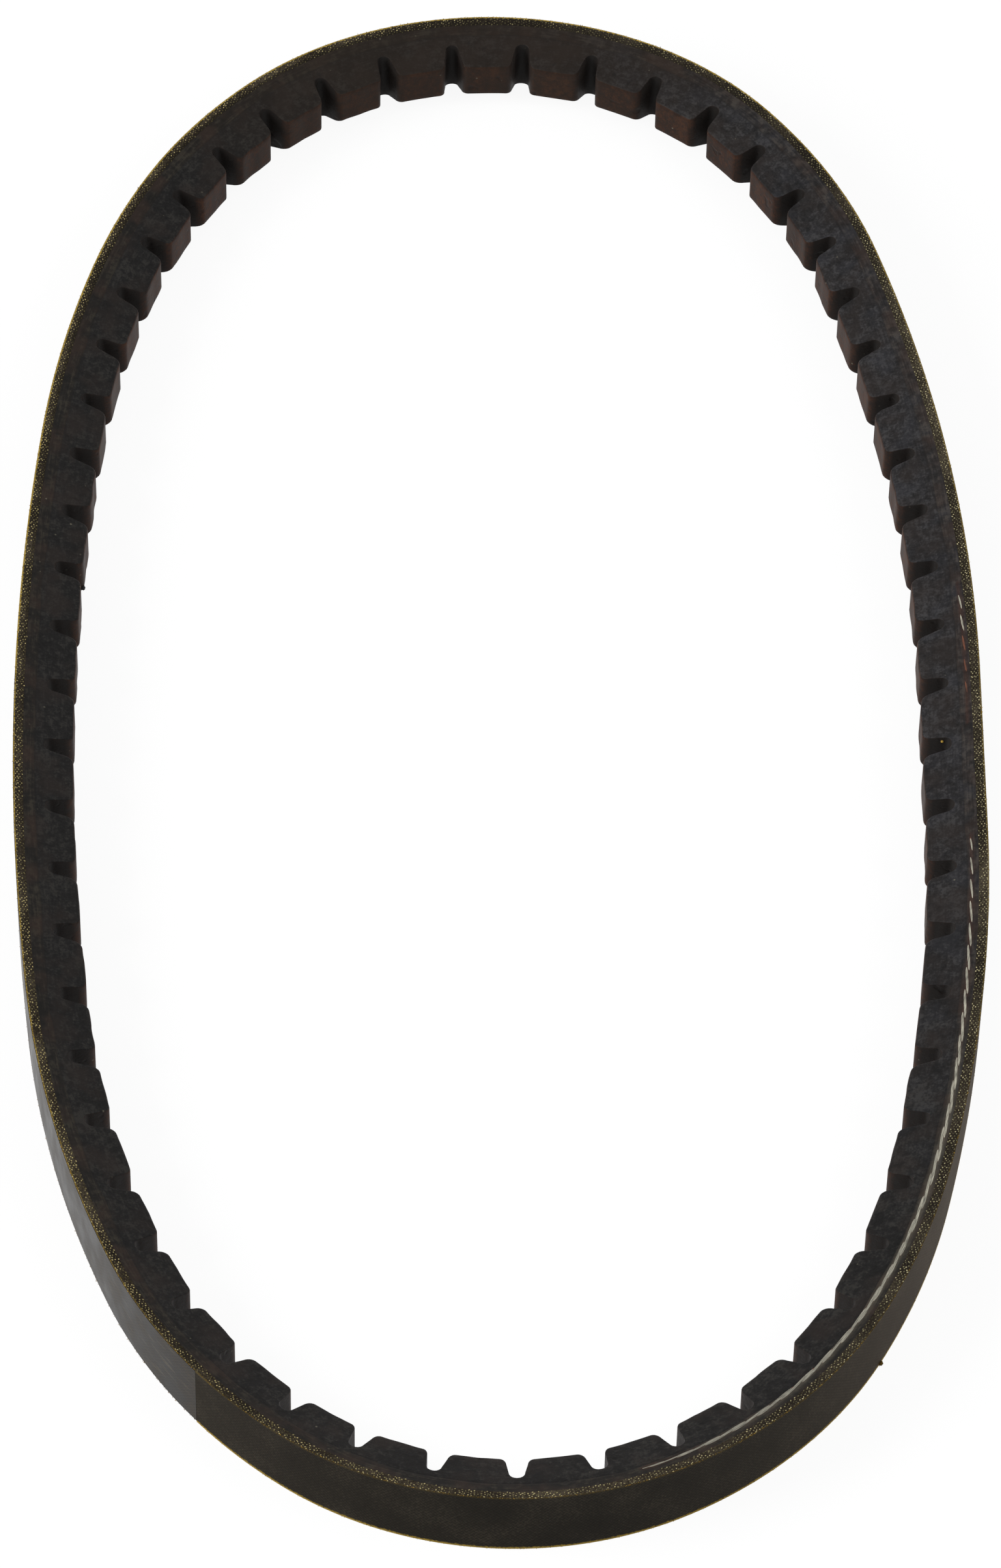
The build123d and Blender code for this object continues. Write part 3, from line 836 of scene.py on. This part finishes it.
def adhesion(name, below_cord):
    """Adhesion rubber on one side of the cord line, with its side of the beds that the level turns of cord
    lie in. Where the turns step down, the bed is plain."""
    distance = belt_stations[:, None]
    outer = cord_depth if below_cord else fabric_depth
    inner = seam_depth(distance) if below_cord else cord_depth + 0 * distance
    flank_depths = outer + (inner - outer) * np.array([[0.0, 0.33, 0.66, 1.0]])
    if below_cord:
        flank_depths[:, 2] = flank_depths[:, 3] - seam_half
    lower = flank_inset(flank_depths)
    if below_cord:
        lower[:, 3] += seam_sink
    beds = np.linspace(0, cord_turns * 2 * math.pi, cord_turns * 4 + 1)
    bed_top = top_turn_height - cord_spacing / 2
    bed_heights = bed_top - cord_spacing * beds / (2 * math.pi) + 0 * distance
    margin = 1.0
    crossing = (distance > -margin) & (distance < step_run + margin)
    bed = np.where(crossing, bed_depth, bed_depth / 2 - bed_depth / 2 * np.cos(beds))
    if below_cord:
        back_depths, back_heights = outer + bed, bed_heights
        inner_depths, inner_heights = inner, middle_height + 0 * distance
    else:
        back_depths, back_heights = outer + 0 * distance, middle_height + 0 * distance
        inner_depths, inner_heights = inner - bed[:, ::-1], bed_heights[:, ::-1]
    depth = np.concatenate([back_depths, flank_depths, inner_depths, flank_depths[:, ::-1]], axis=1)
    height = np.concatenate([back_heights, lower, inner_heights, top_width - lower[:, ::-1]], axis=1)
    obj = loft(name, distance, depth, height, gum_stock)
    # Painted shade along the seam groove.
    seam_shade_mask = np.zeros_like(depth)
    if below_cord:
        seam_shade_mask[:, [back_depths.shape[1] + 3, -4]] = seam_shade_strength
    write_attribute(obj, "seam_shade", seam_shade_mask)
    # Rubbed into the flank beside the bared cord are its dip and the dust of its ground filaments.
    run = distance - pitch_length * (distance > pitch_length / 2)
    upper = height > middle_height
    from_cord = depth - bared_depth(run)
    dipped = (distance > pitch_length + bared_from) | ((distance > covered_to) & (distance < bared_to))
    write_attribute(obj, "dip", np.exp(-(((from_cord - 0.1) / 0.3) ** 2)) * upper * dipped)
    dusted = np.interp(run, [-145, -125, -65, -35], [0, 1, 1, 0])
    write_attribute(obj, "lint", np.exp(-((from_cord / 0.6) ** 2)) * upper * dusted)
    return obj


seated(adhesion("upper_adhesion_skin", False), "adhesion_rubber", "upper_adhesion_rubber")
seated(adhesion("lower_adhesion_skin", True), "adhesion_rubber", "lower_adhesion_rubber")


def wound_height(run):
    """Height of the cord's middle, by its run from where the topmost turn starts to step down."""
    turn = np.floor(run / pitch_length)
    within = np.clip((run - turn * pitch_length) / step_run, 0, 1)
    return top_turn_height - cord_spacing * (turn + within * within * (3 - 2 * within))


def twisted_cord(name, run, middle_depth, height, thickness, corners):
    """Three strands twisted together along a run of the belt, ground off level with the upper flank."""
    spread = cord_radius - strand_radius
    turn = 2 * math.pi * np.arange(corners) / corners
    third = 2 * math.pi / 3
    from_lobe = (turn + third / 2) % third - third / 2
    radius = spread * np.cos(from_lobe) + np.sqrt(strand_radius**2 - (spread * np.sin(from_lobe)) ** 2)
    radius = radius * thickness[:, None]
    angle = turn + math.pi - 2 * math.pi * (run[:, None] - crest_at) / cord_lay
    depth = middle_depth[:, None] + radius * np.sin(angle)
    heights = height[:, None] - radius * np.cos(angle)
    flank = top_width - flank_inset(depth)
    cut = np.clip((heights - flank) / ground_fade + 0.5, 0, 1)
    heights = np.minimum(heights, flank + ground_proud)
    obj = loft(name, run[:, None], depth, heights, cord_fibre, closed=False, smooth_angle=60.0)
    untouched = (run > untouched_from) & (run < untouched_to)
    write_attribute(obj, "cut", cut * ~untouched[:, None])
    sooted_runs = [-150, -137, -125, -90, -60, -35]
    soot = np.interp(run, sooted_runs, [0.4, 0.45, 0.45, 0.3, 0.18, 0.1])
    write_attribute(obj, "soot", np.repeat(soot, corners))
    return obj


def bared_height(run, thickness):
    """Height of the topmost turn, from how far its crests would stand above the ground flank."""
    runs = [-150, -137, -100, -60, -30, -18, -9, -4]
    crests = [0.07, 0.25, 0.27, 0.22, 0.14, 0.09, 0.06, 0.04]
    runs += [-1, 5, 24, 29, 39, 43, 51, bared_to]
    crests += [0.0, -0.08, -0.06, 0.01, 0.03, 0.06, 0.05, -0.06]
    flank = top_width - flank_inset(bared_depth(run))
    return flank - cord_radius * thickness + np.interp(run, runs, crests)


# The bared run is modelled finer than the turns that lie inside the belt. Its end was ground to a taper.
run = np.arange(bared_from, bared_to, 0.3)
taper = np.interp(run, [bared_from, bared_from + taper_length], [taper_end, 1.0])
cord = twisted_cord("bared_cord", run, bared_depth(run), bared_height(run, taper), taper, corners=45)
seated(cord, "tension_cord", "tension_cord")
run = np.arange(bared_to, cord_turns * pitch_length, 1.5)
whole = np.ones_like(run)
cord = twisted_cord("wound_cord", run, cord_depth * whole, wound_height(run), whole, corners=12)
seated(cord, "tension_cord", "tension_cord")


# ------------------------------------------------------------------ cogged rubber skin

def compression_rubber(profile):
    """The cogged rubber from its seam in, with worn edges. Its flanks are ground, and its cogs and notches
    are as they came out of the mould."""
    distance = profile[:, :1]
    tip = profile[:, 1:]
    seam = seam_depth(distance)
    share = np.linspace(0, 1, 7)
    across = np.linspace(0, 1, 9)
    edge = np.interp(tip, [notch_root_depth, belt_height], [notch_edge, cog_edge])
    below_seam = seam + seam_half
    flank_depths = np.concatenate([seam, below_seam + (tip - edge - below_seam) * share], axis=1)
    groove = np.zeros_like(flank_depths)
    groove[:, 0] = seam_sink
    lower = flank_inset(flank_depths) + groove
    bend = np.radians([[30.0, 60.0]])
    round_depths = tip - edge * (1 - np.sin(bend))
    round_heights = flank_inset(round_depths) + edge * (1 - np.cos(bend))
    edge_height = flank_inset(tip) + edge
    face_heights = edge_height + (top_width - 2 * edge_height) * across
    lower_half = np.concatenate([lower, round_heights], axis=1)
    flank_and_edge = np.concatenate([flank_depths, round_depths], axis=1)
    depth = np.concatenate([flank_and_edge, tip + 0 * across, flank_and_edge[:, ::-1]], axis=1)
    height = np.concatenate([lower_half, face_heights, top_width - lower_half[:, ::-1]], axis=1)
    obj = loft("cogged_rubber_skin", distance, depth, height, cogged_stock)
    moulded = np.zeros_like(depth)
    last_edge = flank_and_edge.shape[1] - 1
    moulded[:, last_edge : last_edge + len(across) + 2] = 1.0
    # Painted shade along the seam groove.
    seam_shade_mask = np.zeros_like(depth)
    seam_shade_mask[:, [0, -1]] = seam_shade_strength
    write_attribute(obj, "moulded", moulded)
    write_attribute(obj, "seam_shade", seam_shade_mask)
    return obj


seated(compression_rubber(cogs), "compression_rubber", "cogged_compression_rubber")
nub = crumb("mould_flash_nub", (395.35, 9.65, 3.7), (0.42, 0.4, 0.4), cogged_stock, tone=0.0, seed=8)
seated(nub, "compression_rubber")
lint = crumb("lint_in_notch", (20.95, 6.6, 9.9), (0.2, 0.25, 0.25), loose_yarn, tone=0.9, seed=2)
seated(lint, "compression_rubber")


# ------------------------------------------------------------------ camera, light and floor

# Millimetres and degrees. The focal length is in pixels of a render so many rows high.
camera_aim = (0.590, -20.613, 13.0)
camera_distance = 1207.57
camera_elevation = 48.394
camera_yaw = 0.571
camera_roll = -1.261
focal_pixels = 11291.0
render_rows = 2408


def camera_matrix():
    """Where the camera stands and how it is turned."""
    tilt, yaw, roll = (math.radians(angle) for angle in (camera_elevation, camera_yaw, camera_roll))
    ahead = np.array([math.sin(yaw), math.cos(yaw), 0.0])
    level = np.array([math.cos(yaw), -math.sin(yaw), 0.0])
    zenith = np.array([0.0, 0.0, 1.0])
    forward = ahead * math.cos(tilt) - zenith * math.sin(tilt)
    upright = ahead * math.sin(tilt) + zenith * math.cos(tilt)
    right = level * math.cos(roll) - upright * math.sin(roll)
    up = level * math.sin(roll) + upright * math.cos(roll)
    place = (np.array(camera_aim) - camera_distance * forward) * MM
    matrix = np.eye(4)
    matrix[:3] = np.stack([right, up, -forward, place], axis=-1)
    return Matrix(matrix.tolist())


camera = in_scene("camera", bpy.data.cameras.new("camera"))
camera.data.sensor_width = 36.0
camera.data.lens = focal_pixels * camera.data.sensor_width / render_rows
camera.data.clip_end = 20.0
camera.matrix_world = camera_matrix()
bpy.context.scene.camera = camera


def seen_rays(tree):
    """1 for rays that look at the white room, straight or by way of gloss or glass; 0 for its light."""
    rays = add(tree, "LightPath").outputs
    seen = add(tree, "Math", {0: rays["Is Camera Ray"], 1: rays["Is Glossy Ray"]}, operation="MAXIMUM")
    return add(tree, "Math", {0: seen.outputs[0], 1: rays["Is Transmission Ray"]},
               operation="MAXIMUM").outputs[0]


def white_floor():
    """White paper: diffuse to the lamps, and near white to the camera but for the object's shadow."""
    material = bpy.data.materials.new("white_paper")
    tree = empty_tree(material)
    share = add(tree, "Math", {0: seen_rays(tree), 1: 0.9}, operation="MULTIPLY")
    paper = add(tree, "BsdfDiffuse", {0: "#f4f4f4"})
    white = add(tree, "Emission", {0: "#ffffff", 1: 1.02})
    mixed = add(tree, "MixShader", {0: share.outputs[0], 1: paper.outputs[0], 2: white.outputs[0]})
    add(tree, "OutputMaterial", {"Surface": mixed.outputs[0]})
    mesh = bpy.data.meshes.new("floor")
    reach = 4.0
    spots = [(-reach, -reach, 0), (reach, -reach, 0), (reach, reach, 0), (-reach, reach, 0)]
    mesh.from_pydata(spots, [], [(0, 1, 2, 3)])
    mesh.materials.append(material)
    floor = in_scene("floor", mesh)


def studio_world(strength):
    """An even white room: plain white to look at, and half as strong as a light."""
    world = bpy.data.worlds.new("studio")
    bpy.context.scene.world = world
    tree = empty_tree(world)
    level = add(tree, "MapRange", {0: seen_rays(tree), 3: strength, 4: 1.0}).outputs[0]
    sky = add(tree, "Background", {0: "#ffffff", 1: level})
    add(tree, "OutputWorld", {0: sky.outputs[0]})


lamp_distance = 1.3


def softbox(name, azimuth, elevation, size, power):
    """A square lamp, aimed at the belt."""
    lamp = bpy.data.lights.new(name, "AREA")
    lamp.shape = "SQUARE"
    lamp.size = size
    lamp.energy = power
    holder = in_scene(name, lamp)
    side, rise = math.radians(azimuth), math.radians(elevation)
    away = np.array([math.sin(side) * math.cos(rise), -math.cos(side) * math.cos(rise), math.sin(rise)])
    holder.location = (lamp_distance * away).tolist()
    holder.rotation_euler = (math.pi / 2 - rise, 0.0, side)


white_floor()
studio_world(strength=0.5)
softbox("left_softbox", azimuth=-75, elevation=32, size=0.7, power=14.0)
softbox("right_softbox", azimuth=70, elevation=40, size=0.7, power=5.0)
bpy.context.scene.view_settings.view_transform = "Standard"
